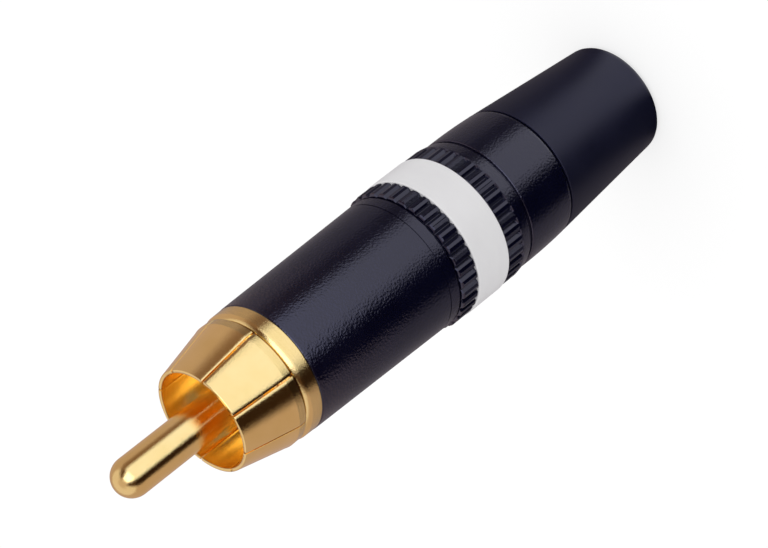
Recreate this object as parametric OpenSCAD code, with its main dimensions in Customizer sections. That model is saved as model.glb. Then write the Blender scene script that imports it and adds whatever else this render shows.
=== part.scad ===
// RCA cable plug, solder type, standing on the end of its boot with the pin up.
// Every piece is turned or moulded about the Z axis; lengths are in millimetres.

/* [Socket side] */
// Diameter of the centre pin
pin_d = 3.2; // [3:0.05:3.4]
// How far the pin reaches past the mouth of the ground sleeve
pin_reach = 8.85; // [7:0.05:10]
// Bore of the ground sleeve, which slips over the socket's barrel
sleeve_bore_d = 8.36; // [8.2:0.02:8.6]
// Wall of a petal at the mouth of the ground sleeve
petal_tip_wall = 0.32; // [0.2:0.02:0.6]
// Length of the slotted cone
petal_len = 5.35; // [4:0.05:6.5]
// Half angle of the slotted cone
cone_angle = 12.2; // [4:0.1:16]
// Length of the bevel at the foot of the petals
petal_foot_len = 0.75; // [0.2:0.05:1]
// Radial depth of that bevel
petal_foot_step = 0.15; // [0.05:0.05:0.35]
// Number of slots that part the petals
slot_count = 8; // [4:1:10]
// Width of a slot
slot_w = 0.14; // [0.1:0.02:0.4]

/* [Ground sleeve] */
// Depth of the sleeve's bore, from its mouth to its floor
sleeve_depth = 4.4; // [3.5:0.05:5.5]
// Wall of the neck below the petals
sleeve_neck_wall = 1.1; // [0.7:0.02:1.2]
// Length of the neck
sleeve_neck_len = 0.15; // [0.1:0.05:0.8]
// Length of the rounded flank between neck and flange
flank_len = 0.4; // [0.3:0.05:1.2]
// Thickness of the flange that closes the shell
flange_t = 1.1; // [0.6:0.05:1.6]
// How far the flange lies inside the rim of the shell
flange_inset = 0.025; // [0:0.005:0.1]
// Length of the threaded spigot below the flange
spigot_len = 3.75; // [3:0.05:4.5]
// Wall of the spigot around the insulator
spigot_wall = 1.8; // [1.2:0.05:2.2]

/* [Insulator and tag] */
// Diameter of the insulator inside the ground sleeve
insulator_d = 5.4; // [4.8:0.05:5.8]
// Width of the sleeve's lip that stops the insulator at the front
lip_w = 0.5; // [0.3:0.05:0.8]
// Thickness of that lip
lip_t = 0.6; // [0.4:0.05:1]
// How far the rear head of the insulator spreads over the tag
head_spread = 0.5; // [0.3:0.05:0.8]
// Thickness of the rear head of the insulator
head_t = 0.5; // [0.3:0.05:0.8]
// Sheet thickness of the solder tag
tag_t = 0.5; // [0.3:0.05:0.6]
// Width of the tail of the solder tag
tag_tail_w = 2; // [1.6:0.1:2.4]
// Width of the ring of the solder tag
tag_ring_w = 1.4; // [1:0.05:1.6]
// Hole near the end of the tail
tag_hole_d = 1; // [0.6:0.05:1.2]
// Diameter of the pin where it passes the insulator
pin_shank_d = 2.6; // [2.2:0.05:2.8]
// Length of the solder cup behind the insulator
cup_len = 4.25; // [3:0.05:4.6]
// Bore of the solder cup
cup_bore_d = 1.8; // [1.2:0.05:2]
// Depth of the bore of the solder cup
cup_depth = 3.4; // [2:0.05:3.8]
// Length of the open scoop in the side of the cup
scoop_len = 2.2; // [1:0.05:2.6]

/* [Front shell] */
// Length of the smooth barrel of the shell
shell_len = 15.35; // [13:0.05:20]
// Wall of the shell at its front rim
shell_front_wall = 1.07; // [0.7:0.01:1.4]
// Rounding of the front rim of the shell
shell_rim_round = 0.2; // [0.05:0.05:0.4]
// Thickness of the inner web between chuck seat and solder space
shell_web_t = 2.25; // [1:0.05:2.6]
// Width of the undercut in front of the knurl
undercut_w = 0.2; // [0.1:0.02:0.4]
// Distance from the fine turned line to the knurl
fine_line_gap = 1.1; // [0.6:0.05:2]
// Width of the fine turned line
fine_line_w = 0.1; // [0.06:0.02:0.2]
// Wall of the insulating tube
tube_wall = 0.48; // [0.3:0.02:0.6]
// Radial gap around the insulating tube
tube_gap = 0.15; // [0.1:0.01:0.25]

/* [Knurl and colour ring] */
// Number of knurl teeth
knurl_teeth = 36; // [24:1:40]
// Length of a knurled band
knurl_len = 1.8; // [1.2:0.05:2.4]
// Depth of the knurl grooves
knurl_depth = 0.3; // [0.15:0.01:0.4]
// Width of a knurl groove at its floor
knurl_floor_w = 0.06; // [0.04:0.02:0.3]
// Full angle between the flanks of a knurl groove
knurl_flank_angle = 55; // [40:1:80]
// Where the teeth stand when both threads are home
knurl_phase = 2; // [0:0.5:9.5]
// How far the teeth stand above the shell
knurl_rise = 0.25; // [0.15:0.01:0.4]
// Length of the colour ring
ring_len = 3.55; // [2.5:0.05:5]
// Wall of the colour ring
ring_wall = 1.1; // [0.8:0.05:1.6]
// How far the colour ring stands above the teeth
ring_proud = 0.05; // [0:0.01:0.15]
// Radial gap between colour ring and threaded neck
ring_gap = 0.1; // [0.05:0.01:0.2]

/* [Rear nut] */
// Length of the barrelled body of the nut
nut_barrel_len = 5.3; // [4.5:0.05:8]
// Length of the smooth shoulder beside the teeth
shoulder_len = 1.1; // [0.6:0.05:2]
// Radial fall of the shoulder
shoulder_drop = 0.17; // [0.08:0.01:0.3]
// Radial fall of the barrel from shoulder to boot
barrel_drop = 0.15; // [0.05:0.01:0.3]
// How far the barrel bulges between its ends
barrel_bulge = 0.06; // [0:0.01:0.15]
// Width of the turned groove between shoulder and barrel
nut_groove_w = 0.28; // [0.1:0.02:0.4]
// Depth of the turned grooves beside the knurls
groove_depth = 0.16; // [0.08:0.01:0.25]
// Thickness of the inner web that pushes the chuck
nut_web_t = 1; // [0.6:0.05:1.4]
// How much wider, on each side, the hole in that web is than the boot's cable hole
nut_web_gap = 0.2; // [0.16:0.02:0.4]

/* [Thread and chuck] */
// Radial gap between the plain cylinders that stand for a thread
thread_gap = 0.08; // [0.04:0.01:0.12]
// Wall of the threaded neck behind the shell
neck_wall = 0.85; // [0.6:0.05:1]
// Bore of the chuck, which closes on the cable
chuck_bore_d = 6.1; // [5.6:0.05:6.6]
// Wall of the chuck's fingers
chuck_wall = 1; // [0.8:0.05:1.2]
// Wall left at the tapered tip of the fingers
chuck_tip_wall = 0.4; // [0.3:0.05:0.6]
// Radial gap between chuck and neck
chuck_gap = 0.1; // [0.06:0.01:0.2]
// Thickness of the chuck's rear flange
chuck_flange_t = 1; // [0.6:0.05:1.4]
// How far the chuck's flange stands out
chuck_flange_w = 0.75; // [0.4:0.05:0.9]
// Number of cuts that part the chuck's fingers
finger_cuts = 4; // [3:1:6]
// Width of a cut between two fingers
finger_cut_w = 0.8; // [0.4:0.05:1.2]
// Length of the chuck left whole above its flange
chuck_collar_len = 1.5; // [1:0.1:3]
// Half angle of the tapered seat in the shell
seat_angle = 30; // [20:1:45]
// How far the chuck stands back from its seat
seat_gap = 0.2; // [0.1:0.05:0.4]

/* [Boot] */
// How much wider, on each side, the boot's cable hole is than the chuck's bore
cable_gap = 0.25; // [0.2:0.05:0.4]
// Length of the boot behind the nut
boot_len = 12.3; // [8:0.1:18]
// Radial fall of the boot from nut to tail
boot_drop = 1; // [0.4:0.05:1.1]
// Rounding of the tail of the boot
boot_end_round = 0.75; // [0.3:0.05:0.9]
// Step between nut and boot at their seam
boot_step = 0.02; // [0:0.01:0.1]
// Length of the spigot that snaps into the nut
boot_spigot_len = 2.05; // [1.6:0.05:2.6]
// Wall of that spigot
boot_spigot_wall = 1.3; // [1:0.05:1.4]
// Height of the snap bead
bead_h = 0.2; // [0.1:0.02:0.3]

/* [Hidden] */
$fn = 96;
overcut = 1;
small_edge = 0.1;
seam_edge = 0.25;
snug_gap = 0.04;
end_gap = 0.35;

// Radii, worked out from the cable outwards
chuck_bore_r = chuck_bore_d / 2;
cable_r = chuck_bore_r + cable_gap;
chuck_r = chuck_bore_r + chuck_wall;
chuck_tip_r = chuck_bore_r + chuck_tip_wall;
neck_bore_r = chuck_r + chuck_gap;
neck_r = neck_bore_r + neck_wall;
ring_in_r = neck_r + ring_gap;
ring_r = ring_in_r + ring_wall;
knurl_r = ring_r - ring_proud;
shell_rear_r = knurl_r - knurl_rise;
nut_bore_r = neck_r + thread_gap;
shoulder_r = knurl_r - shoulder_drop;
barrel_rear_r = shoulder_r - barrel_drop;
boot_r = barrel_rear_r - boot_step;
boot_end_r = boot_r - boot_drop;
boot_spigot_r = cable_r + boot_spigot_wall;
web_hole_r = chuck_tip_r + chuck_gap;

// Radii, worked out from the insulator outwards
insulator_r = insulator_d / 2;
sleeve_bore_r = sleeve_bore_d / 2;
spigot_r = insulator_r + spigot_wall;
shell_bore_r = spigot_r + thread_gap;
shell_front_r = shell_bore_r + shell_front_wall;
flange_r = shell_front_r - flange_inset;
mouth_r = sleeve_bore_r + petal_tip_wall;
sleeve_neck_r = sleeve_bore_r + sleeve_neck_wall;
tube_r = shell_bore_r - tube_gap;
tag_r = insulator_r + tag_ring_w;
lip_r = insulator_r - lip_w;

// Heights, stacked from the tail of the boot
seam_z = boot_len;
nut_groove_z = seam_z + nut_barrel_len;
nut_knurl_z = nut_groove_z + shoulder_len;
ring_z = nut_knurl_z + knurl_len;
shell_knurl_z = ring_z + ring_len;
shell_z = shell_knurl_z + knurl_len;
flange_z = shell_z + shell_len;
flank_z = flange_z + flange_t;
sleeve_neck_z = flank_z + flank_len;
petal_z = sleeve_neck_z + sleeve_neck_len;
mouth_z = petal_z + petal_len;
tip_z = mouth_z + pin_reach;

// Heights inside, from the nut's web up to the shell's web
nut_web_z = seam_z + boot_spigot_len;
chuck_z = nut_web_z + nut_web_t;
neck_end_z = chuck_z + chuck_flange_t + end_gap + snug_gap;
seat_z = shell_knurl_z + end_gap;
seat_top_z = seat_z + (neck_bore_r - web_hole_r) / tan(seat_angle);
web_top_z = seat_top_z + shell_web_t;

// Heights inside, from the flange down to the tail of the tag
sleeve_floor_z = mouth_z - sleeve_depth;
lip_z = sleeve_floor_z - lip_t;
spigot_z = flange_z - spigot_len;
tag_z = spigot_z - tag_t;
head_z = tag_z - head_t;
tube_top_z = tag_z - end_gap;
tag_tail_z = web_top_z + cup_len - end_gap;

// Points of an arc, from angle a0 to angle a1
function arc(centre, r, a0, a1, steps = 8) =
    [for (i = [0 : steps]) centre + r * [cos(a0 + (a1 - a0) * i / steps), sin(a0 + (a1 - a0) * i / steps)]];

// Radius of the outside of the shell at height z
function shell_r(z) = shell_rear_r + (shell_front_r - shell_rear_r) * (z - shell_z) / shell_len;

// Turns a profile of [radius, height] points about Z
module turned(profile) {
    rotate_extrude() polygon(profile);
}

// The grooves between knurl teeth, from z0 up to z1
module knurl_grooves(z0, z1) {
    reach = knurl_depth + knurl_rise;
    half_floor = knurl_floor_w / 2;
    half_top = half_floor + reach * tan(knurl_flank_angle / 2);
    for (i = [0 : knurl_teeth - 1])
        rotate([0, 0, knurl_phase + (i + 0.5) * 360 / knurl_teeth])
            translate([knurl_r - knurl_depth, 0, z0])
                linear_extrude(z1 - z0)
                    polygon([[0, -half_floor], [reach, -half_top], [reach, half_top], [0, half_floor]]);
}

module centre_pin() {
    pin_r = pin_d / 2;
    shank_r = pin_shank_d / 2;
    cup_z = head_z - cup_len;
    color("goldenrod") difference() {
        turned(concat(
            [[0, cup_z], [shank_r - small_edge, cup_z], [shank_r, cup_z + small_edge],
             [shank_r, sleeve_floor_z], [pin_r, sleeve_floor_z]],
            arc([0, tip_z - pin_r], pin_r, 0, 90, 12)));
        translate([0, 0, cup_z - overcut])
            cylinder(r = cup_bore_d / 2, h = cup_depth + overcut);
        translate([-pin_r, -pin_d, cup_z - overcut])
            cube([pin_d, pin_d, scoop_len + overcut]);
    }
}

module ground_sleeve() {
    petal_top_r = mouth_r + (petal_len - petal_foot_len) * tan(cone_angle);
    flank_drop = flange_r - sleeve_neck_r - small_edge;
    color("gold") difference() {
        turned(concat(
            [[insulator_r, spigot_z], [spigot_r - 2 * small_edge, spigot_z],
             [spigot_r, spigot_z + 2 * small_edge], [spigot_r, flange_z],
             [flange_r - small_edge / 2, flange_z], [flange_r, flange_z + small_edge / 2],
             [flange_r, flank_z - small_edge / 2], [flange_r - small_edge / 2, flank_z]],
            [for (i = [0 : 6]) let (a = 15 * i)
                [flange_r - small_edge / 2 - flank_drop * (1 - cos(a)), flank_z + flank_len * sin(a)]],
            [[sleeve_neck_r, sleeve_neck_z], [sleeve_neck_r, petal_z],
             [petal_top_r - petal_foot_step, petal_z], [petal_top_r, petal_z + petal_foot_len],
             [mouth_r, mouth_z - small_edge], [mouth_r - small_edge, mouth_z],
             [sleeve_bore_r + small_edge, mouth_z], [sleeve_bore_r, mouth_z - small_edge],
             [sleeve_bore_r, sleeve_floor_z], [lip_r, sleeve_floor_z], [lip_r, lip_z],
             [insulator_r, lip_z]]));
        for (i = [0 : slot_count - 1])
            rotate([0, 0, i * 360 / slot_count])
                translate([sleeve_bore_r - small_edge, -slot_w / 2, petal_z])
                    cube([flange_r + petal_len, slot_w, petal_len + overcut]);
    }
}

module insulator() {
    shank_r = pin_shank_d / 2;
    color("ivory") turned([
        [shank_r, head_z], [insulator_r + head_spread - small_edge, head_z],
        [insulator_r + head_spread, head_z + small_edge], [insulator_r + head_spread, tag_z],
        [insulator_r, tag_z], [insulator_r, lip_z], [lip_r, lip_z], [lip_r, sleeve_floor_z],
        [shank_r, sleeve_floor_z]]);
}

module ground_tag() {
    color("khaki") difference() {
        union() {
            translate([0, 0, tag_z])
                cylinder(r = tag_r, h = tag_t);
            translate([-tag_tail_w / 2, tag_r - tag_t, tag_tail_z])
                cube([tag_tail_w, tag_t, spigot_z - tag_tail_z]);
        }
        translate([0, 0, tag_z - overcut])
            cylinder(r = insulator_r, h = tag_t + 2 * overcut);
        translate([0, tag_r - tag_t - overcut, tag_tail_z + tag_tail_w / 2])
            rotate([-90, 0, 0])
                cylinder(d = tag_hole_d, h = tag_t + 2 * overcut);
    }
}

module insulating_tube() {
    slot_half = tag_tail_w / 2 + tube_gap;
    color("whitesmoke") difference() {
        translate([0, 0, web_top_z])
            cylinder(r = tube_r, h = tube_top_z - web_top_z);
        translate([0, 0, web_top_z - overcut])
            cylinder(r = tube_r - tube_wall, h = tube_top_z - web_top_z + 2 * overcut);
        translate([-slot_half, 0, tag_tail_z - end_gap])
            cube([2 * slot_half, tube_r + overcut, tube_top_z - tag_tail_z + end_gap + overcut]);
    }
}

module front_shell() {
    edge_r = shell_r(shell_z + undercut_w);
    undercut_r = shell_rear_r - groove_depth;
    line_z = shell_z + fine_line_gap;
    rim_centre = [shell_front_r - shell_rim_round, flange_z - shell_rim_round];
    color("dimgray") difference() {
        turned(concat(
            [[neck_bore_r, neck_end_z], [neck_r - 2 * small_edge, neck_end_z],
             [neck_r, neck_end_z + 2 * small_edge], [neck_r, shell_knurl_z],
             [knurl_r - small_edge, shell_knurl_z], [knurl_r, shell_knurl_z + small_edge],
             [knurl_r, shell_z - 2 * small_edge], [knurl_r - 2 * small_edge, shell_z],
             [undercut_r, shell_z], [undercut_r, shell_z + undercut_w / 2],
             [edge_r - small_edge / 2, shell_z + undercut_w / 2], [edge_r, shell_z + undercut_w],
             [shell_r(line_z), line_z], [shell_r(line_z) - fine_line_w / 2, line_z + fine_line_w / 2],
             [shell_r(line_z + fine_line_w), line_z + fine_line_w]],
            arc(rim_centre, shell_rim_round, 0, 90),
            [[shell_bore_r, flange_z], [shell_bore_r, web_top_z], [web_hole_r, web_top_z],
             [web_hole_r, seat_top_z], [neck_bore_r, seat_z]]));
        knurl_grooves(shell_knurl_z - overcut, shell_z);
    }
}

module colour_ring() {
    color("white") turned(concat(
        [[ring_in_r + small_edge, ring_z]],
        arc([ring_r - small_edge, ring_z + small_edge], small_edge, -90, 0, 4),
        arc([ring_r - small_edge, shell_knurl_z - small_edge], small_edge, 0, 90, 4),
        [[ring_in_r + small_edge, shell_knurl_z], [ring_in_r, shell_knurl_z - small_edge],
         [ring_in_r, ring_z + small_edge]]));
}

module cable_chuck() {
    flange_top_z = chuck_z + chuck_flange_t;
    taper_z = seat_z - seat_gap;
    tip_top_z = taper_z + (chuck_r - chuck_tip_r) / tan(seat_angle);
    color("gainsboro") difference() {
        turned([
            [chuck_bore_r, chuck_z], [chuck_r + chuck_flange_w, chuck_z],
            [chuck_r + chuck_flange_w, flange_top_z], [chuck_r, flange_top_z],
            [chuck_r, taper_z], [chuck_tip_r, tip_top_z], [chuck_bore_r, tip_top_z]]);
        for (i = [0 : finger_cuts - 1])
            rotate([0, 0, (i + 0.5) * 360 / finger_cuts])
                translate([0, -finger_cut_w / 2, flange_top_z + chuck_collar_len])
                    cube([chuck_r + overcut, finger_cut_w, tip_top_z]);
    }
}

module rear_nut() {
    counterbore_r = boot_spigot_r + snug_gap;
    bead_mid_z = (seam_z + nut_web_z) / 2;
    bead_r = counterbore_r + bead_h;
    web_r = cable_r + nut_web_gap;
    barrel_top_z = nut_groove_z - nut_groove_w / 2;
    groove_top_z = nut_groove_z + nut_groove_w / 2;
    groove_r = shoulder_r - groove_depth;
    barrel_foot = [barrel_rear_r - seam_edge, seam_z + seam_edge];
    color("dimgray") difference() {
        turned(concat(
            [[counterbore_r, seam_z]],
            arc(barrel_foot, seam_edge, -90, 0, 4),
            [for (i = [1 : 12]) let (u = i / 12)
                [barrel_rear_r + barrel_drop * u + 4 * barrel_bulge * u * (1 - u),
                 seam_z + seam_edge + (barrel_top_z - seam_z - seam_edge) * u]],
            [[groove_r, barrel_top_z], [groove_r, groove_top_z - small_edge],
             [shoulder_r - small_edge, groove_top_z - small_edge], [shoulder_r, groove_top_z],
             [knurl_r, nut_knurl_z + small_edge], [knurl_r, ring_z - small_edge],
             [knurl_r - small_edge, ring_z], [nut_bore_r, ring_z], [nut_bore_r, chuck_z],
             [web_r, chuck_z], [web_r, nut_web_z], [counterbore_r, nut_web_z],
             [counterbore_r, bead_mid_z + 2 * bead_h], [bead_r, bead_mid_z + bead_h],
             [bead_r, bead_mid_z - bead_h], [counterbore_r, bead_mid_z - 2 * bead_h]]));
        knurl_grooves(nut_knurl_z, ring_z + overcut);
    }
}

module boot() {
    slope = (boot_r - boot_end_r) / boot_len;
    lean = atan(slope);
    end_centre_r = boot_end_r + slope * boot_end_round - boot_end_round / cos(lean);
    bead_mid_z = (seam_z + nut_web_z) / 2;
    bead_r = boot_spigot_r + bead_h;
    color("black") turned(concat(
        [[cable_r + small_edge, 0]],
        arc([end_centre_r, boot_end_round], boot_end_round, -90, -lean),
        [[boot_r - slope * small_edge, seam_z - small_edge], [boot_r - small_edge, seam_z],
         [boot_spigot_r, seam_z], [boot_spigot_r, bead_mid_z - 2 * bead_h],
         [bead_r, bead_mid_z - bead_h], [bead_r, bead_mid_z + bead_h],
         [boot_spigot_r, bead_mid_z + 2 * bead_h], [boot_spigot_r, nut_web_z - small_edge],
         [boot_spigot_r - small_edge, nut_web_z], [cable_r, nut_web_z], [cable_r, small_edge]]));
}

centre_pin();
ground_sleeve();
insulator();
ground_tag();
insulating_tube();
front_shell();
colour_ring();
cable_chuck();
rear_nut();
boot();
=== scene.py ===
# %% [markdown]
# # A phono plug, from solid model to finished picture
# The plug is a stack of turned and moulded pieces on one axis: a gold pin in a slotted gold sleeve, a black
# shell, a white ring, a knurled nut and a matt boot. The solid model comes in first, because it says where every
# piece sits and how the threads move. Each piece that shows is then rebuilt with the fine edges and the finish
# that the real one has, and rides on the same moving body.

# %% Load the solid model
import math

import bmesh
import bpy
import numpy as np
from mathutils import Matrix


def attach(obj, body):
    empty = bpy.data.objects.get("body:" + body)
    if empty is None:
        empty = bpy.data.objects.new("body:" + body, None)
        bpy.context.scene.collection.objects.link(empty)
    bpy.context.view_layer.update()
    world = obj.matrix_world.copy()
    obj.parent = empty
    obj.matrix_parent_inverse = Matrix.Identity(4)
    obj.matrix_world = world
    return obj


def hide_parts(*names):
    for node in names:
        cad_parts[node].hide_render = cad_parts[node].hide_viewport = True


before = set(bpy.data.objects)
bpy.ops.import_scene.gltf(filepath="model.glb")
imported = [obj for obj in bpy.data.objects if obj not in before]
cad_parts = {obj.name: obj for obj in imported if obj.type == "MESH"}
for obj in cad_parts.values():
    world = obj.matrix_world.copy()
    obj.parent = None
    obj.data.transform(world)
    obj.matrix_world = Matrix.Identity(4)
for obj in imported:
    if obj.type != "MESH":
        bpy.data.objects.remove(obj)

MM = 0.001
scene = bpy.context.scene
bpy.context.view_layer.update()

# %% [markdown]
# ## Sizes that pieces share
# Where two pieces meet, both take the height from here. Heights are in millimetres above the foot, and they are the
# solid model's own. One pitch serves both threads.

# %% Name the shared sizes
seam_z = 12.3
knurl_rear, ring_low, ring_high, knurl_front = 18.7, 20.5, 24.05, 25.85
shell_front = 41.2
sleeve_neck_low, sleeve_neck_high = 42.7, 42.85
bore_floor, mouth_z = 43.8, 48.2
thread_pitch = 0.75
round_columns = 192
print("boot up to", seam_z, "ring from", ring_low, "to", ring_high, "mouth at", mouth_z)

# %% [markdown]
# ## Helpers for nodes
# Light and finishes are both drawn with shader nodes. Three small functions take up what repeats: a value that goes
# from one number to another, the product of two values, and the mix of two colours.

# %% Helpers for nodes
MIX_SHARE, MIX_FIRST, MIX_SECOND, MIX_RESULT = 0, 6, 7, 2  # the sockets of a Mix node that carry colour


def slope(nodes, links, value, start, full, low=0.0, high=1.0):
    """Goes from low to high while the value goes from start to full."""
    span = nodes.new("ShaderNodeMapRange")
    for name, number in zip(("From Min", "From Max", "To Min", "To Max"), (start, full, low, high)):
        span.inputs[name].default_value = number
    links.new(value, span.inputs["Value"])
    return span.outputs[0]


def times(nodes, links, first, second):
    """The product of two values."""
    product = nodes.new("ShaderNodeMath")
    product.operation = "MULTIPLY"
    links.new(first, product.inputs[0])
    links.new(second, product.inputs[1])
    return product.outputs[0]


def mixed_colour(nodes, links, share, first, second):
    """The first colour where share is 0, the second where it is 1. A tuple is a colour that stays."""
    mix = nodes.new("ShaderNodeMix")
    mix.data_type = "RGBA"
    links.new(share, mix.inputs[MIX_SHARE])
    for socket, colour in ((mix.inputs[MIX_FIRST], first), (mix.inputs[MIX_SECOND], second)):
        if isinstance(colour, tuple):
            socket.default_value = colour
        else:
            links.new(colour, socket)
    return mix.outputs[MIX_RESULT]


print("the helpers for nodes are ready")

# %% [markdown]
# ## Camera
# A long lens from well back keeps the barrel's edges nearly parallel, as product pictures do. The camera looks
# down at about 32 degrees and is rolled on its own axis, so the standing plug runs across the picture with its
# pin at the lower left. Three unit vectors say this without any guessing about angles: they are the camera's
# right, up and back, and they become the columns of its matrix.

# %% Stand the camera
lens_right = (-0.4888, -0.5637, -0.6660)
lens_up = (0.8443, -0.1144, -0.5230)
lens_back = (0.2192, -0.8181, 0.5320)
lens_place = (0.05399, -0.20085, 0.15856)

picture_camera = bpy.data.objects.new("picture_camera", bpy.data.cameras.new("picture_camera"))
picture_camera.data.lens = 150
picture_camera.data.sensor_width = 36
picture_camera.data.clip_start = 0.01
turn = Matrix((lens_right, lens_up, lens_back)).transposed().to_quaternion().to_matrix()
picture_camera.matrix_world = Matrix.Translation(lens_place) @ turn.to_4x4()
scene.collection.objects.link(picture_camera)
scene.camera = picture_camera
scene.view_settings.view_transform = "Standard"
print("camera stands", round(picture_camera.location.length, 3), "m from the foot of the plug")

# %% [markdown]
# ## What the bright metal sees
# Polished gold has hardly any colour of its own: it shows the room. A plain studio set stands round the plug: a
# light panel in front of it, a black card on one side, a shaded card on the other, and grey room for the rest. A
# brighter lamp hangs above the panel. A round bar stretches that set into stripes along its length, while the
# ball nose of the pin shows it whole. The set is drawn as brightness by compass angle, in three rings: the floor
# near the plug, which lies in the plug's own shade and is darker, the floor further out with the low sky, and the
# height of the lamp. One function makes all three from a few values.

# %% A ring of the studio set, by compass angle
def studio_ring(panel, room, black, shade, black_from, panel_from, panel_to, soft):
    """Grey room, black card, light panel, a shaded card and grey room again, with soft edges between them."""
    return [(-180, room), (black_from - soft, room), (black_from + soft, black),
            (panel_from - soft, black), (panel_from + soft, panel), (panel_to - soft, panel),
            (panel_to + soft, shade), (-3, shade), (14, room), (180, room)]


near_ring = studio_ring(0.90, 0.24, 0.01, 0.11, black_from=-150, panel_from=-91, panel_to=-27, soft=8)
far_ring = studio_ring(1.05, 0.50, 0.03, 0.22, black_from=-138, panel_from=-101, panel_to=-24, soft=3)
lamp_belt = studio_ring(2.00, 0.75, 0.08, 0.13, black_from=-140, panel_from=-100, panel_to=-36, soft=5)
top_belt = [(-180, 0.60), (180, 0.60)]
print("a ring has", len(near_ring), "stops")


# %% Turn rings into light
def room_colour(level, warmth):
    """Panels are a cool white, and what lies in their shade is the warmer the darker it is."""
    green = min(0.50 + 0.50 * level, 1)
    blue = min(0.30 + 0.80 * level, 1.15)
    return level, level * (1 - warmth * (1 - green)), level * (1 - warmth ** 2 * (1 - blue))


def room_stripes(tree, direction, belt, warmth):
    """Adds nodes that turn a direction into that belt's colour, and returns their output."""
    brightest = max(level for angle, level in belt)
    apart = tree.nodes.new("ShaderNodeSeparateXYZ")
    angle = tree.nodes.new("ShaderNodeMath")
    angle.operation = "ARCTAN2"
    stripes = tree.nodes.new("ShaderNodeValToRGB")
    strength = tree.nodes.new("ShaderNodeVectorMath")
    strength.operation = "SCALE"
    strength.inputs["Scale"].default_value = brightest
    stops = stripes.color_ramp.elements
    stops[0].position, stops[1].position = belt[0][0] / 360 + 0.5, belt[-1][0] / 360 + 0.5
    for degrees, level in belt[1:-1]:
        stops.new(degrees / 360 + 0.5)
    for stop, (degrees, level) in zip(stops, belt):
        stop.color = [part / brightest for part in room_colour(level, warmth)] + [1]
    tree.links.new(direction, apart.inputs[0])
    tree.links.new(apart.outputs["Y"], angle.inputs[0])
    tree.links.new(apart.outputs["X"], angle.inputs[1])
    tree.links.new(slope(tree.nodes, tree.links, angle.outputs[0], -math.pi, math.pi), stripes.inputs[0])
    tree.links.new(stripes.outputs["Color"], strength.inputs[0])
    return strength.outputs[0]


def room_steps(tree, direction, measure, steps):
    """Belts that follow each other as a measure climbs: each starts at one value and is full at the next."""
    colour = None
    for start, full, belt, warmth in steps:
        stripes = room_stripes(tree, direction, belt, warmth)
        if colour is None:
            colour = stripes
            continue
        share = slope(tree.nodes, tree.links, measure, start, full)
        colour = mixed_colour(tree.nodes, tree.links, share, colour, stripes)
    return colour


print("brightest of each belt:", [max(level for angle, level in belt)
                                  for belt in (near_ring, far_ring, lamp_belt, top_belt)])

# %% [markdown]
# ## Sky
# An even white sky gives the soft light without hard shadows that small parts are pictured in. It is white to the
# camera, a little lower as a light, and shows mirror rays the belts of the room, which follow each other as the
# ray climbs. A light tent could be modelled instead, but a sky that tells rays apart is lighter and has no seams.

# %% Build the sky
sky_light = 0.84
sky = bpy.data.worlds.new("white_sky")
scene.world = sky
sky.use_nodes = True
sky_tree = sky.node_tree
sky_nodes, sky_links = sky_tree.nodes, sky_tree.links
sky_paths = sky_nodes.new("ShaderNodeLightPath")
sky_place = sky_nodes.new("ShaderNodeTexCoord")
sky_height = sky_nodes.new("ShaderNodeSeparateXYZ")
sky_links.new(sky_place.outputs["Generated"], sky_height.inputs[0])

lamp_starts, lamp_full = 0.37, 0.44
ceiling_starts, ceiling_full = 0.88, 0.95
mirrored_sky = room_steps(sky_tree, sky_place.outputs["Generated"], sky_height.outputs["Z"], (
    (None, None, far_ring, 1), (lamp_starts, lamp_full, lamp_belt, 1),
    (ceiling_starts, ceiling_full, top_belt, 1)))
lit_sky = mixed_colour(sky_nodes, sky_links, sky_paths.outputs["Is Glossy Ray"],
                       (sky_light, sky_light, sky_light, 1), mirrored_sky)
seen_sky = mixed_colour(sky_nodes, sky_links, sky_paths.outputs["Is Camera Ray"], lit_sky, (1, 1, 1, 1))
sky_links.new(seen_sky, sky_nodes["Background"].inputs["Color"])
print("sky light", sky_light)

# %% [markdown]
# ## Floor
# The plug stands on the flat end of its boot, on plain white paper. The paper takes light like any matt white
# sheet, which lights the plug from below and holds its soft shadow. For the camera the sheet is lifted to the
# white of the background, and mirror rays see the light panel and the cards on it. From below it is clear, so
# that the end of the boot can be looked at.

# %% Lay the floor
floor_mesh = bpy.data.meshes.new("white_floor")
reach, under_boot = 10.0, 0.02 * MM
floor_mesh.from_pydata([(-reach, -reach, 0), (reach, -reach, 0), (reach, reach, 0), (-reach, reach, 0)],
                       [], [(0, 1, 2, 3)])
floor = bpy.data.objects.new("white_floor", floor_mesh)
floor.location.z = -under_boot
scene.collection.objects.link(floor)

paper = bpy.data.materials.new("white_paper")
paper.use_nodes = True
paper_tree = paper.node_tree
paper_nodes, paper_links = paper_tree.nodes, paper_tree.links
paper_nodes.remove(paper_nodes["Principled BSDF"])
paper_paths = paper_nodes.new("ShaderNodeLightPath")
paper_side = paper_nodes.new("ShaderNodeNewGeometry")
paper_place = paper_nodes.new("ShaderNodeTexCoord")

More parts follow.
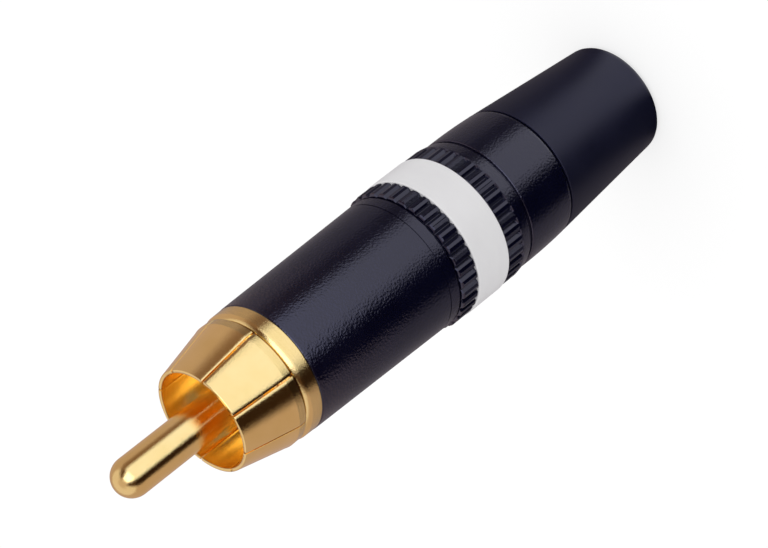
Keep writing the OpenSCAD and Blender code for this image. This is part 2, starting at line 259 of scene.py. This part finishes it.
bounce = paper_nodes.new("ShaderNodeBsdfDiffuse")
bounce.inputs["Color"].default_value = (0.8, 0.8, 0.8, 1)
shade = paper_nodes.new("ShaderNodeBsdfDiffuse")
shade.inputs["Color"].default_value = (0.38, 0.38, 0.38, 1)
lift = paper_nodes.new("ShaderNodeEmission")
lift.inputs["Strength"].default_value = 0.70
panel = paper_nodes.new("ShaderNodeEmission")
from_foot = paper_nodes.new("ShaderNodeVectorMath")
from_foot.operation = "LENGTH"
paper_links.new(paper_place.outputs["Object"], from_foot.inputs[0])
near_ends, far_starts = 0.0765, 0.0775
paper_stripes = room_steps(paper_tree, paper_place.outputs["Object"], from_foot.outputs["Value"], (
    (None, None, near_ring, 0.3), (near_ends, far_starts, far_ring, 1)))
paper_links.new(paper_stripes, panel.inputs["Color"])
seen_paper = paper_nodes.new("ShaderNodeAddShader")
paper_links.new(shade.outputs[0], seen_paper.inputs[0])
paper_links.new(lift.outputs[0], seen_paper.inputs[1])
clear = paper_nodes.new("ShaderNodeBsdfTransparent")


def paper_mix(choose, first, second):
    """The first shader where choose is 0, the second where it is 1."""
    mix = paper_nodes.new("ShaderNodeMixShader")
    paper_links.new(choose, mix.inputs[0])
    paper_links.new(first.outputs[0], mix.inputs[1])
    paper_links.new(second.outputs[0], mix.inputs[2])
    return mix


mirrored_paper = paper_mix(paper_paths.outputs["Is Glossy Ray"], bounce, panel)
through_paper = paper_mix(paper_paths.outputs["Is Transmission Ray"], mirrored_paper, seen_paper)
camera_paper = paper_mix(paper_paths.outputs["Is Camera Ray"], through_paper, seen_paper)
one_sided = paper_mix(paper_side.outputs["Backfacing"], camera_paper, clear)
paper_links.new(one_sided.outputs[0], paper_nodes["Material Output"].inputs["Surface"])
floor_mesh.materials.append(paper)
print("floor lies", floor.location.z / MM, "mm under the boot")

# %% [markdown]
# ## One soft lamp
# A single large lamp on the side of the picture's upper left gives the white ring its slightly brighter side and
# the floor a shadow with a direction. It is kept out of mirror rays, because the room's stripes already say what
# the gold reflects.

# %% Hang the lamp
soft_lamp = bpy.data.objects.new("soft_lamp", bpy.data.lights.new("soft_lamp", "AREA"))
soft_lamp.data.size = 0.5
soft_lamp.data.energy = 0.5
soft_lamp.location = (0.48, -0.20, 0.52)
soft_lamp.rotation_euler = soft_lamp.location.to_track_quat("Z", "Y").to_euler()
soft_lamp.visible_glossy = False
scene.collection.objects.link(soft_lamp)
print("lamp hangs", round(soft_lamp.location.length, 2), "m away")

# %% [markdown]
# ## Finishes: the common start
# Every finish here begins the same way: the standard surface shader, and the piece's own coordinates in
# millimetres. Grain sizes can then be written as they would be measured on the real plug, and the grain moves with
# the piece.

# %% Helpers for finishes
def start_finish(name):
    """A new material: returns it with its nodes, its links, its shader and its place in millimetres."""
    finish = bpy.data.materials.new(name)
    finish.use_nodes = True
    nodes, links = finish.node_tree.nodes, finish.node_tree.links
    place = nodes.new("ShaderNodeTexCoord")
    in_mm = nodes.new("ShaderNodeVectorMath")
    in_mm.operation = "SCALE"
    in_mm.inputs["Scale"].default_value = 1 / MM
    links.new(place.outputs["Object"], in_mm.inputs[0])
    return finish, nodes, links, nodes["Principled BSDF"], in_mm.outputs[0]


def grain(nodes, links, place, per_mm, detail=2.0):
    """Noise with that many grains to the millimetre along x, y and z."""
    stretch = nodes.new("ShaderNodeVectorMath")
    stretch.operation = "MULTIPLY"
    stretch.inputs[1].default_value = per_mm
    noise = nodes.new("ShaderNodeTexNoise")
    noise.inputs["Scale"].default_value = 1
    noise.inputs["Detail"].default_value = detail
    links.new(place, stretch.inputs[0])
    links.new(stretch.outputs[0], noise.inputs["Vector"])
    return noise.outputs[0]


def tint(nodes, links, shader, noise, dark, light):
    """Lets the colour wander between two tones."""
    tones = nodes.new("ShaderNodeValToRGB")
    for stop, place, tone in zip(tones.color_ramp.elements, (0.35, 0.65), (dark, light)):
        stop.position = place
        stop.color = (*tone, 1)
    links.new(noise, tones.inputs[0])
    links.new(tones.outputs["Color"], shader.inputs["Base Color"])
    return tones.outputs["Color"]


def gloss(nodes, links, shader, noise, low, high):
    """Lets the roughness wander between two values."""
    links.new(slope(nodes, links, noise, 0.3, 0.7, low, high), shader.inputs["Roughness"])


def turned_place(nodes, links, place):
    """The distance of a point from the axis and its height, in millimetres."""
    flat = nodes.new("ShaderNodeVectorMath")
    flat.operation = "MULTIPLY"
    flat.inputs[1].default_value = (1, 1, 0)
    radius = nodes.new("ShaderNodeVectorMath")
    radius.operation = "LENGTH"
    parts = nodes.new("ShaderNodeSeparateXYZ")
    links.new(place, flat.inputs[0])
    links.new(flat.outputs[0], radius.inputs[0])
    links.new(place, parts.inputs[0])
    return radius.outputs["Value"], parts.outputs["Z"]


def relief(nodes, links, shader, *layers):
    """Stacks bump layers, each a noise and its height in millimetres."""
    under = None
    for noise, height in layers:
        bump = nodes.new("ShaderNodeBump")
        bump.inputs["Strength"].default_value = 1
        bump.inputs["Distance"].default_value = height * MM
        links.new(noise, bump.inputs["Height"])
        if under:
            links.new(under, bump.inputs["Normal"])
        under = bump.outputs[0]
    links.new(under, shader.inputs["Normal"])


print("finishes are drawn in millimetres")

# %% [markdown]
# ## Gold plating
# Pin and sleeve are turned brass with a thin bright gold layer. The lathe leaves very fine rings round the axis,
# and the plating a faint grain that frays the edge between a light and a dark reflection. Both are far too small
# to model, so they are bump; the noise for the rings is squeezed along z and hardly changes round the piece. The
# sleeve gets a gold of its own: its bore was cut with a boring bar, which leaves it coarser and less bright. The
# bottom of its narrow neck is painted brown, as painted shade for the dark that falls into that deep groove. Light
# goes from wall to wall in the bore, and each bounce makes it more orange: the render has to allow some more
# bounces.

# %% Mix the gold
# Painted shade: the brown at the bottom of the sleeve's neck stands for the dark that falls into that deep, narrow
# groove.
painted_neck_shade, neck_fade = (0.55, 0.30, 0.08, 1), 0.02
bore_roughness = 0.19


def gold_finish(name, ring_pitch, ring_height, grain_from):
    """Gold with rings of that pitch and height, grain outside of the radius grain_from, and painted shade at the
    bottom of the sleeve's neck.
    """
    finish, nodes, links, shader, place = start_finish(name)
    shader.inputs["Metallic"].default_value = 1
    lathe_rings = grain(nodes, links, place, (0.15, 0.15, 1 / ring_pitch), 3)
    plating_grain = grain(nodes, links, place, (14, 14, 14))
    worn_patches = grain(nodes, links, place, (0.5, 0.5, 0.5), 4)
    radius, height = turned_place(nodes, links, place)
    outside = slope(nodes, links, radius, grain_from - 0.05, grain_from + 0.05)
    # The band at the bottom of the sleeve's neck, where the gold turns to the painted shade.
    above_low = slope(nodes, links, height, sleeve_neck_low - neck_fade, sleeve_neck_low)
    below_high = slope(nodes, links, height, sleeve_neck_high + neck_fade, sleeve_neck_high)
    below_edge = slope(nodes, links, radius, 5.36, 5.33)
    neck_shade_share = times(nodes, links, times(nodes, links, above_low, below_high), below_edge)
    gold_tone = tint(nodes, links, shader, worn_patches, (0.95, 0.730, 0.295), (0.99, 0.770, 0.335))
    links.new(mixed_colour(nodes, links, neck_shade_share, gold_tone, painted_neck_shade), shader.inputs["Base Color"])
    rougher = nodes.new("ShaderNodeMath")
    rougher.operation = "MAXIMUM"
    links.new(slope(nodes, links, worn_patches, 0.3, 0.7, 0.05, 0.09), rougher.inputs[0])
    links.new(slope(nodes, links, outside, 0, 1, bore_roughness, 0), rougher.inputs[1])
    links.new(rougher.outputs[0], shader.inputs["Roughness"])
    outer_grain = times(nodes, links, plating_grain, outside)
    relief(nodes, links, shader, (outer_grain, 0.010), (lathe_rings, ring_height))
    return finish


pin_gold = gold_finish("pin_gold", ring_pitch=0.07, ring_height=0.0015, grain_from=-0.1)
sleeve_gold = gold_finish("sleeve_gold", ring_pitch=0.10, ring_height=0.004, grain_from=4.3)
scene.cycles.glossy_bounces = 10
print("made", pin_gold.name, sleeve_gold.name)

# %% [markdown]
# ## Black coat
# Shell and nut are metal under a black coat with a slight blue cast. Up close the coat has the skin of an orange,
# with bumps about a sixth of a millimetre apart, and this is why the light stripe along the barrel has ragged
# edges. Two noises make it: one for the bumps and a finer one that keeps them from looking all alike. On the sharp
# teeth of the knurl the wet coat draws thin and smooth, so the bumps fade out in the two bands beside the ring.

# %% Mix the black coat
blue_cast = (0.77, 0.775, 1, 1)
black_coat, nodes, links, shader, place = start_finish("black_coat")
orange_peel = grain(nodes, links, place, (5.5, 5.5, 5.5), 1)
fine_skin = grain(nodes, links, place, (16, 16, 16), 2)
cloud = grain(nodes, links, place, (0.4, 0.4, 0.4), 3)
shader.inputs["Specular IOR Level"].default_value = 0.94
shader.inputs["Specular Tint"].default_value = blue_cast
tint(nodes, links, shader, cloud, (0.0008, 0.0010, 0.0085), (0.0018, 0.0020, 0.0115))
gloss(nodes, links, shader, cloud, 0.12, 0.17)
height = turned_place(nodes, links, place)[1]
from_middle = nodes.new("ShaderNodeMath")
from_middle.operation = "SUBTRACT"
from_middle.inputs[1].default_value = (ring_low + ring_high) / 2
beside_ring = nodes.new("ShaderNodeMath")
beside_ring.operation = "ABSOLUTE"
links.new(height, from_middle.inputs[0])
links.new(from_middle.outputs[0], beside_ring.inputs[0])
past_ring = slope(nodes, links, beside_ring.outputs[0], 1.70, 1.75)
short_of_end = slope(nodes, links, beside_ring.outputs[0], 3.65, 3.55)
on_teeth = times(nodes, links, past_ring, short_of_end)
thick_coat = slope(nodes, links, on_teeth, 0, 1, 1.0, 0.2)
relief(nodes, links, shader, (times(nodes, links, orange_peel, thick_coat), 0.028), (fine_skin, 0.004))
print("made", black_coat.name)

# %% [markdown]
# ## White ring plastic
# The ring marks the channel and is moulded in a clean, slightly cool white. Its skin is smooth with a soft shine.
# Very faint flow clouds and a trace of texture keep it from looking like paper.

# %% Mix the ring plastic
ring_plastic, nodes, links, shader, place = start_finish("ring_plastic")
flow = grain(nodes, links, place, (0.35, 0.35, 0.8), 2)
skin = grain(nodes, links, place, (7, 7, 7), 2)
tint(nodes, links, shader, flow, (0.874, 0.864, 0.879), (0.892, 0.884, 0.897))
gloss(nodes, links, shader, skin, 0.36, 0.46)
relief(nodes, links, shader, (skin, 0.002))
print("made", ring_plastic.name)

# %% [markdown]
# ## Matt boot
# The boot is moulded in a black that is duller than the coated metal: the same stripes run over it, but blurred.
# Its mould was blasted, so the skin has a grain that is finer and flatter than the orange skin of the shell.

# %% Mix the boot plastic
boot_plastic, nodes, links, shader, place = start_finish("boot_plastic")
blasted = grain(nodes, links, place, (11, 11, 11), 2)
handled = grain(nodes, links, place, (0.3, 0.3, 0.3), 3)
shader.inputs["Specular IOR Level"].default_value = 0.55
shader.inputs["Specular Tint"].default_value = blue_cast
tint(nodes, links, shader, handled, (0.0030, 0.0036, 0.0170), (0.0042, 0.0048, 0.0200))
gloss(nodes, links, shader, handled, 0.44, 0.52)
relief(nodes, links, shader, (blasted, 0.003))
print("made", boot_plastic.name)

# %% [markdown]
# ## Finishes of the pieces inside
# Bush, tube, chuck and solder tag show only in the mouth of the sleeve, through the cable hole or when the plug is
# unscrewed. They still get what they are made of: warm bush plastic, a milky tube, a grey-white chuck, and a
# tinned tag with the long scratches of rolled sheet.

# %% Mix the inner finishes
def moulded_finish(name, dark, light, rough, grains):
    """Plain plastic that wanders between two tones, with that many grains to the millimetre."""
    finish, nodes, links, shader, place = start_finish(name)
    clouds = grain(nodes, links, place, (0.6, 0.6, 0.6), 3)
    texture = grain(nodes, links, place, (grains,) * 3, 2)
    tint(nodes, links, shader, clouds, dark, light)
    gloss(nodes, links, shader, clouds, rough - 0.04, rough + 0.05)
    relief(nodes, links, shader, (texture, 0.003))
    return finish


bush_plastic = moulded_finish("bush_plastic", (0.74, 0.70, 0.60), (0.79, 0.75, 0.65), 0.42, 6)
tube_plastic = moulded_finish("tube_plastic", (0.66, 0.68, 0.69), (0.72, 0.73, 0.74), 0.30, 4)
chuck_plastic = moulded_finish("chuck_plastic", (0.58, 0.58, 0.56), (0.64, 0.64, 0.62), 0.45, 8)

tinned_tag, nodes, links, shader, place = start_finish("tinned_tag")
shader.inputs["Metallic"].default_value = 1
rolling_lines = grain(nodes, links, place, (12, 12, 0.3), 3)
tin_clouds = grain(nodes, links, place, (1.2, 1.2, 1.2), 3)
tint(nodes, links, shader, tin_clouds, (0.68, 0.62, 0.47), (0.75, 0.70, 0.57))
gloss(nodes, links, shader, tin_clouds, 0.24, 0.36)
relief(nodes, links, shader, (rolling_lines, 0.002))
print("made", bush_plastic.name, tube_plastic.name, chuck_plastic.name, tinned_tag.name)

# %% [markdown]
# ## Turned shapes
# A lathe makes a piece by its outline, and so does this lesson. An outline is a list of corners, each with the
# radius of its rounding, because every real edge is a little round and catches light. A short extra row beside
# each rounding keeps the long smooth faces from bending the reflections. Blender's Screw modifier could spin the
# outline, but knurls, threads and slots need to change single points, so the points are laid out in a grid of
# rows along the outline and columns round the axis.

# %% Outline with rounded corners
def rounded_outline(corners, closed=True, steps=4, beside=0.05):
    """Points along an outline of (radius, height, rounding) corners, in millimetres."""
    raw = []
    for index, (r, z, rounding) in enumerate(corners):
        here = np.array((r, z), float)
        at_end = not closed and index in (0, len(corners) - 1)
        if rounding == 0 or at_end:
            raw.append(here)
            continue
        back = np.array(corners[index - 1][:2], float) - here
        ahead = np.array(corners[(index + 1) % len(corners)][:2], float) - here
        back, ahead = back / np.linalg.norm(back), ahead / np.linalg.norm(ahead)
        half = math.acos(float(np.clip(back @ ahead, -1, 1))) / 2
        middle = here + (back + ahead) / np.linalg.norm(back + ahead) * rounding / math.sin(half)
        first = here + back * rounding / math.tan(half) - middle
        last = here + ahead * rounding / math.tan(half) - middle
        start = math.atan2(first[1], first[0])
        sweep = (math.atan2(last[1], last[0]) - start + math.pi) % (2 * math.pi) - math.pi
        for step in range(steps + 1):
            angle = start + sweep * step / steps
            raw.append(middle + rounding * np.array((math.cos(angle), math.sin(angle))))
    points = []
    for index, here in enumerate(raw):
        points.append(here)
        if index == len(raw) - 1 and not closed:
            break
        ahead = raw[(index + 1) % len(raw)] - here
        length = np.linalg.norm(ahead)
        if length > 8 * beside:
            points.append(here + ahead * beside / length)
            points.append(here + ahead * (1 - beside / length))
    return np.array(points)


def thread_rows(radius, low, high, per_turn=8):
    """Corners along a straight stretch, close enough together to carry a thread."""
    count = max(2, round((high - low) / thread_pitch * per_turn))
    return [(radius, low + (high - low) * step / count, 0) for step in range(count + 1)]


ring_outline = rounded_outline([
    (5.1, ring_low, 0.1), (6.2, ring_low, 0.12), (6.2, ring_high, 0.12), (5.1, ring_high, 0.1)])
print("the ring's outline has", len(ring_outline), "points")

# %% [markdown]
# ## From outline to piece
# The grid becomes a mesh with quads between neighbouring rows and columns. Points that fall together, as at the
# nose of the pin, are merged. Shading is smooth, with a crease only where two faces meet at more than a rounding
# would give.

# %% Helpers that make a piece
def spin(outline, angles):
    """Radius, height and angle of every grid point: rows follow the outline, columns the angles."""
    r = np.repeat(outline[:, :1], len(angles), axis=1)
    z = np.repeat(outline[:, 1:], len(angles), axis=1)
    a = np.repeat(np.asarray(angles)[None, :], len(outline), axis=0)
    return r, z, a


def grid_quads(rows, columns, closed=True, keep=None):
    """Quads of the grid, facing outwards for an outline that climbs on its outer side."""
    quads = []
    for row in range(rows if closed else rows - 1):
        above = (row + 1) % rows
        for column in range(columns):
            beside = (column + 1) % columns
            if keep is None or keep(row, above, column):
                quads.append((row * columns + column, row * columns + beside,
                              above * columns + beside, above * columns + column))
    return quads


def make_piece(name, grid, faces, finish, body, stands_for):
    """Makes the piece from its grid, lets it ride on the body, and hides the solid it stands for."""
    r, z, a = grid
    points = np.stack((r * np.cos(a), r * np.sin(a), z), axis=2).reshape(-1, 3) * MM
    mesh = bpy.data.meshes.new(name)
    mesh.from_pydata(points.tolist(), [], faces)
    edit = bmesh.new()
    edit.from_mesh(mesh)
    bmesh.ops.remove_doubles(edit, verts=edit.verts, dist=1e-7)
    edit.to_mesh(mesh)
    edit.free()
    mesh.shade_smooth()
    mesh.set_sharp_from_angle(angle=math.radians(28))
    mesh.materials.append(finish)
    piece = bpy.data.objects.new(name, mesh)
    scene.collection.objects.link(piece)
    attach(piece, body)
    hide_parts(stands_for)
    print(name, "has", len(mesh.polygons), "faces")
    return piece


def even_angles(count):
    """That many angles round the axis, in even steps."""
    return np.arange(count) * 2 * math.pi / count


make_piece("white_ring", spin(ring_outline, even_angles(round_columns)),
           grid_quads(len(ring_outline), round_columns), ring_plastic, "clamp", "colour_ring")

# %% [markdown]
# ## Boot
# The boot tapers towards the cable, ends in a soft rounded edge and has a hole for the cable. A spigot with a snap
# bead holds it in the nut, out of sight. The outer edge of the tail is rounded most.

# %% Turn the boot
boot_outline = rounded_outline([
    (3.30, 0, 0.12), (4.81, 0, 0.75), (5.81, seam_z, 0.08), (4.6, seam_z, 0), (4.6, 12.92, 0), (4.8, 13.12, 0),
    (4.8, 13.53, 0), (4.6, 13.73, 0), (4.6, 14.35, 0.1), (3.30, 14.35, 0.05)], steps=6)
make_piece("cable_boot", spin(boot_outline, even_angles(round_columns)),
           grid_quads(len(boot_outline), round_columns), boot_plastic, "nut", "boot")

# %% [markdown]
# ## Straight knurl
# Shell and nut each have a band of 36 straight teeth for the fingers. A knurling wheel presses narrow valleys into
# the turned metal, which swells up between them: each crest is a low roof with a thin seam in its middle. One pitch
# is drawn as a little outline of its own, across the valley, and repeated round the axis: the grid gets a column
# for each of its points. In the band, a point is then pulled in to the tooth wherever the turned outline stands
# further out. On the nut the valleys run out towards the shoulder, as far as the wheel was rolled.

# %% Columns for the knurl
teeth = 36
crest_r, valley_r = 6.15, 5.85
half_pitch = crest_r * math.tan(math.pi / teeth)
tooth_first = math.radians(2)
eaves_r, eaves_half, seam_half, valley_half = crest_r - 0.06, 0.25, 0.03, 0.02
pitch_outline = np.array([
    (-half_pitch, eaves_r), (-half_pitch + seam_half, crest_r), (-eaves_half, eaves_r), (-valley_half, valley_r),
    (valley_half, valley_r), (eaves_half, eaves_r), (half_pitch - seam_half, crest_r)])
pitch_angle = np.arctan2(pitch_outline[:, 0], pitch_outline[:, 1])
pitch_radius = np.hypot(pitch_outline[:, 0], pitch_outline[:, 1])
knurl_angles = np.concatenate([
    tooth_first + (tooth + 0.5) * 2 * math.pi / teeth + pitch_angle for tooth in range(teeth)])
knurl_radii = np.tile(pitch_radius, teeth)


def press_knurl(grid, rows, start=0.0, run_out=0.3):
    """Pulls the points of those rows in to the teeth, to the full depth from run_out above the start."""
    r, z, a = grid
    depth = np.clip((z[rows] - start) / run_out, 0, 1) * (crest_r - knurl_radii)
    r[rows] = np.minimum(r[rows], crest_r - depth)
    return r, z, a


print(len(knurl_angles), "columns,", len(pitch_outline), "to each tooth")

# %% [markdown]
# ## Screw threads
# Two fine threads hold the plug together: the nut on the shell's neck, and the gold contact in the shell's front.
# They show when the plug is unscrewed. A thread is the turned cylinder with a groove that climbs by one pitch a
# turn, so a cosine of height minus angle gives it; the groove fades in at both ends as a cutter would leave it.

# %% Cut a thread into a grid
def cut_thread(grid, rows, low, high, depth=0.22):
    """Cuts the thread's groove into those rows, between two heights."""
    r, z, a = grid
    turns = z[rows] / thread_pitch - a[rows] / (2 * math.pi)
    groove = np.clip(0.5 - 0.75 * np.cos(2 * math.pi * turns), 0, 1)
    fade = np.clip(np.minimum(z[rows] - low, high - z[rows]) / (0.5 * thread_pitch), 0, 1)
    r[rows] = r[rows] - depth * groove * fade
    return r, z, a


print("right-hand thread,", thread_pitch, "mm a turn")

# %% [markdown]
# ## Front shell
# The shell narrows slightly to the front, where its rim is rounded round the gold flange. At its rear are a fine
# turned line, an undercut, the knurl, and then the threaded neck that the ring slips on. All of this is one
# outline; the knurl and the thread change its points afterwards.

# %% Turn the shell
shell_rear_r, shell_front_r, shell_len = 5.9, 5.65, 15.35
neck_r, neck_low, neck_high = 5.0, 16.95, 23.3
line_low, line_high, line_depth = 26.95, 27.05, 0.05


def shell_r(z):
    """Radius of the shell's smooth outside at that height."""
    return shell_rear_r + (shell_front_r - shell_rear_r) * (z - knurl_front) / shell_len


line_r = shell_r(line_low) - line_depth
shell_outline = rounded_outline(
    [(4.15, 16.74, 0.08), (neck_r, 16.74, 0.2)] + thread_rows(neck_r, neck_low, neck_high)
    + [(neck_r, ring_high, 0), (crest_r, ring_high, 0.14), (crest_r, knurl_front, 0.24), (5.74, knurl_front, 0),
       (5.74, 25.95, 0), (shell_r(25.95), 25.95, 0.1), (shell_r(line_low), line_low, 0), (line_r, 26.96, 0),
       (line_r, 27.02, 0), (shell_r(line_high), line_high, 0), (shell_r(shell_front), shell_front, 0.2),
       (4.58, shell_front, 0.05), (4.58, 27.69, 0),
       (3.55, 27.69, 0.1), (3.55, 25.44, 0), (4.15, 24.4, 0)])
shell_grid = spin(shell_outline, knurl_angles)
outline_r, outline_z = shell_outline.T
in_band = (outline_z > ring_high - 0.01) & (outline_z < knurl_front + 0.01) & (outline_r > 5.8)
shell_grid = press_knurl(shell_grid, in_band)
on_neck = (np.abs(outline_r - neck_r) < 1e-6) & (outline_z > 16.9)
shell_grid = cut_thread(shell_grid, on_neck, neck_low, neck_high)
make_piece("black_shell", shell_grid, grid_quads(len(shell_outline), len(knurl_angles)),
           black_coat, "shell", "front_shell")

# %% [markdown]
# ## Rear nut
# The nut repeats the knurl next to the ring. Behind it the valleys run out into a smooth shoulder, then come a
# narrow dark groove, a barrel with the slightest bulge and a soft edge at the boot. A few close rows follow the
# valleys up as they run out.

# %% Turn the nut
barrel_r, barrel_rise, barrel_bulge = 5.83, 0.15, 0.06
barrel_low, barrel_len = 12.55, 4.91
barrel_rows = [(barrel_r + barrel_rise * u + 4 * barrel_bulge * u * (1 - u), barrel_low + barrel_len * u, 0)
               for u in np.linspace(0.06, 0.94, 14)]
nut_floor, boot_stop = 15.35, 14.35
nut_outline = rounded_outline(
    [(4.64, seam_z, 0), (5.835, seam_z, 0.45)] + barrel_rows
    + [(5.98, 17.42, 0.10), (5.80, 17.42, 0), (5.80, 17.68, 0), (5.97, 17.68, 0.10), (6.135, knurl_rear, 0),
       (6.14, 18.74, 0), (6.145, 18.78, 0), (crest_r, 18.82, 0), (crest_r, ring_low, 0.13), (5.08, ring_low, 0.1),
       (5.08, nut_floor, 0), (3.5, nut_floor, 0.08), (3.5, boot_stop, 0.08), (4.64, boot_stop, 0),
       (4.64, 13.73, 0), (4.84, 13.53, 0), (4.84, 13.12, 0), (4.64, 12.92, 0)])
nut_grid = spin(nut_outline, knurl_angles)
nut_band = (nut_outline[:, 1] > knurl_rear - 0.01) & (nut_outline[:, 0] > 5.8)
nut_grid = press_knurl(nut_grid, nut_band, start=knurl_rear, run_out=0.12)
make_piece("black_nut", nut_grid, grid_quads(len(nut_outline), len(knurl_angles)),
           black_coat, "nut", "rear_nut")

# %% [markdown]
# ## Ground sleeve
# The sleeve is turned as one piece: threaded spigot, flange, rounded flank, dark neck and a cone that slips over
# the socket. Eight saw cuts part the cone into springy petals. The cuts have parallel walls, so the angle of a
# wall depends on the radius; columns beside a wall stay at a fixed distance from it and dip a little, which rounds
# the petals' edges. In the strips between two petals the faces are left out above the neck, and the two walls and
# the floor of the cut are put in.

# %% Outline of the sleeve
cut_half, edge_round = 0.07, 0.03
spigot_r, spigot_low, spigot_high = 4.5, 37.6, 41.0
flank, flank_step = [(5.59, 42.30, 0)], 0.0515
for tilt in np.radians(np.linspace(24, 50, 9)):
    flank.append((flank[-1][0] - flank_step * math.sin(tilt), flank[-1][1] + flank_step * math.cos(tilt), 0))
sleeve_outline = rounded_outline(
    [(2.7, 37.45, 0), (spigot_r, 37.45, 0.15)] + thread_rows(spigot_r, spigot_low + 0.05, spigot_high)
    + [(spigot_r, shell_front, 0), (5.625, shell_front, 0.05), (5.605, 42.25, 0.1)] + flank
    + [(5.15, sleeve_neck_low, 0), (5.15, sleeve_neck_high, 0), (5.51, sleeve_neck_high, 0.02),
       (5.52, 43.56, 0.03), (5.489, 43.63, 0), (4.479, mouth_z, 0.09), (4.18, mouth_z, 0.09),
       (4.18, bore_floor, 0), (2.2, bore_floor, 0), (2.2, 43.2, 0), (2.7, 43.2, 0)])
petal_rows = [row for row, (r, z) in enumerate(sleeve_outline) if z > sleeve_neck_high - 0.001 and r > 4.1]
first_row, last_row = petal_rows[0], petal_rows[-1]
print("rows", first_row, "to", last_row, "of", len(sleeve_outline), "belong to the petals")

# %% Saw the petals
petals, across, beside_cut = 8, 15, 3
per_petal = across + 2 * beside_cut
ahead = np.roll(sleeve_outline, -1, axis=0) - sleeve_outline
ahead /= np.linalg.norm(ahead, axis=1)[:, None]
along = ahead + np.roll(ahead, 1, axis=0)
along /= np.linalg.norm(along, axis=1)[:, None]
outward = np.stack((along[:, 1], -along[:, 0]), axis=1)

from_wall = edge_round * np.array([0, 0.29, 1.0])
dip = np.array([edge_round, edge_round * 0.29, 0])
columns = petals * per_petal
r, z, a = spin(sleeve_outline, np.zeros(columns))
rounded_rows = np.arange(first_row + 1, last_row)
for petal in range(petals):
    start = petal * per_petal
    for step in range(beside_cut):
        for column in (start + step, start + per_petal - 1 - step):
            r[rounded_rows, column] -= dip[step] * outward[rounded_rows, 0]
            z[rounded_rows, column] -= dip[step] * outward[rounded_rows, 1]
    for column in range(per_petal):
        radius = r[:, start + column]
        wall = np.arcsin(cut_half / radius)
        span = 2 * math.pi / petals - 2 * wall - 2 * edge_round / radius
        if column < beside_cut:
            angle = wall + from_wall[column] / radius
        elif column >= across + beside_cut:
            angle = 2 * math.pi / petals - wall - from_wall[per_petal - 1 - column] / radius
        else:
            angle = wall + edge_round / radius + span * (column - beside_cut + 1) / (across + 1)
        a[:, start + column] = petal * 2 * math.pi / petals + angle
on_spigot = (np.abs(sleeve_outline[:, 0] - spigot_r) < 1e-6) & (sleeve_outline[:, 1] < 41.1)
sleeve_grid = cut_thread((r, z, a), on_spigot, spigot_low, spigot_high)
print(columns, "columns round the sleeve")

# %% Close the cuts and make the sleeve
def outside_cut(row, above, column):
    """Whether that quad of the grid lies in metal, and not in a cut."""
    in_strip = column % per_petal == per_petal - 1
    return not (in_strip and first_row <= row < last_row)


sleeve_faces = grid_quads(len(sleeve_outline), columns, keep=outside_cut)
for petal in range(petals):
    left = petal * per_petal + per_petal - 1
    right = (left + 1) % columns
    wall_rows = range(first_row, last_row + 1)
    sleeve_faces.append([row * columns + left for row in reversed(wall_rows)])
    sleeve_faces.append([row * columns + right for row in wall_rows])
    sleeve_faces.append([last_row * columns + left, first_row * columns + left,
                         first_row * columns + right, last_row * columns + right])
make_piece("gold_sleeve", sleeve_grid, sleeve_faces, sleeve_gold, "contact", "ground_sleeve")

# %% [markdown]
# ## Centre pin
# The pin is one turned bar with a ball nose, a slimmer shank through the bush and a solder cup at its hidden end.
# The cup is bored, and half of its wall is milled away so that a wire can be laid in. Boring belongs to the
# outline; the milled scoop doesn't go round the axis, so a Boolean modifier takes it off.

# %% Turn the pin
pin_r, nose_z, pin_columns = 1.6, 55.45, 96
cup_r, cup_floor, shank_r, cup_end = 0.9, 35.6, 1.3, 32.2
nose = [(pin_r * math.cos(step), nose_z + pin_r * math.sin(step), 0) for step in np.radians(np.arange(0, 91, 5))]
pin_outline = rounded_outline(
    [(0, cup_floor, 0), (cup_r, cup_floor, 0), (cup_r, cup_end, 0.05), (shank_r, cup_end, 0.1),
     (shank_r, bore_floor, 0), (pin_r, bore_floor, 0.04)] + nose, closed=False)
pin_outline[-1, 0] = 0
gold_pin = make_piece("gold_pin", spin(pin_outline, even_angles(pin_columns)),
                      grid_quads(len(pin_outline), pin_columns, closed=False),
                      pin_gold, "contact", "centre_pin")

# %% Mill the scoop of the solder cup
mill_side, scoop_top = 3.2, 34.4
bpy.ops.mesh.primitive_cube_add(size=1)
mill = bpy.context.object
mill.scale = (mill_side * MM, mill_side * MM, mill_side * MM)
mill.location = (0, -mill_side / 2 * MM, (scoop_top - mill_side / 2) * MM)
scoop = gold_pin.modifiers.new("scoop", "BOOLEAN")
scoop.operation = "DIFFERENCE"
scoop.object = mill
bpy.context.view_layer.update()
milled = bpy.data.meshes.new_from_object(gold_pin.evaluated_get(bpy.context.evaluated_depsgraph_get()))
gold_pin.modifiers.clear()
gold_pin.data = milled
bpy.data.objects.remove(mill)
print("the pin has", len(gold_pin.data.polygons), "faces after milling")

# %% [markdown]
# ## Pieces that keep their solid
# Bush, tag, tube and chuck already have the right shape in the solid model. Only their finish is missing, so each
# gets its material and stays where it is.

# %% Dress the inner pieces
for node, finish in (("insulator", bush_plastic), ("ground_tag", tinned_tag), ("insulating_tube", tube_plastic),
                     ("cable_chuck", chuck_plastic)):
    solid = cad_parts[node]
    solid.data.materials.clear()
    solid.data.materials.append(finish)
    print(node, "is", finish.name)
